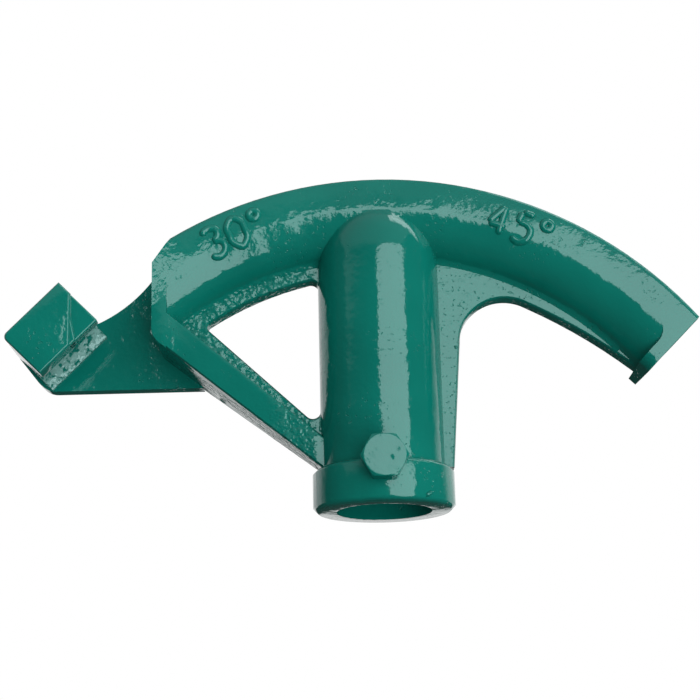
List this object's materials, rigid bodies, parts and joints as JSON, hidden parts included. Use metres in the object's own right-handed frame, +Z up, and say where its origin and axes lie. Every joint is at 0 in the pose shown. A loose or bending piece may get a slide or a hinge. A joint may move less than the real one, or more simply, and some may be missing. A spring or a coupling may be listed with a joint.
{
  "type": "pipe bender",
  "caption": "Hand bender head for thin-wall conduit: a grooved curved shoe with a hook, on a pipe handle socket with a set bolt.",
  "frame": {"origin": "centre of the handle socket's mouth", "axes": "+Z up the socket into the casting, +X along the shoe away from the hook, +Y away from the side that the set bolt is on"},
  "size_m": [0.2038, 0.0479, 0.0987],
  "materials": {
    "enamel": "gloss enamel over a rough casting",
    "bolt_enamel": "gloss enamel, the same coat as on the casting"
  },
  "bodies": {
    "head": {"bender_head": "enamel"},
    "bolt": {"set_bolt": "bolt_enamel"}
  },
  "joints": [
    {"name": "set_bolt_travel", "type": "slide", "parent": "head", "child": "bolt", "axis": [0, 1, 0], "range_m": [-0.0055, 0.00085]}
  ]
}
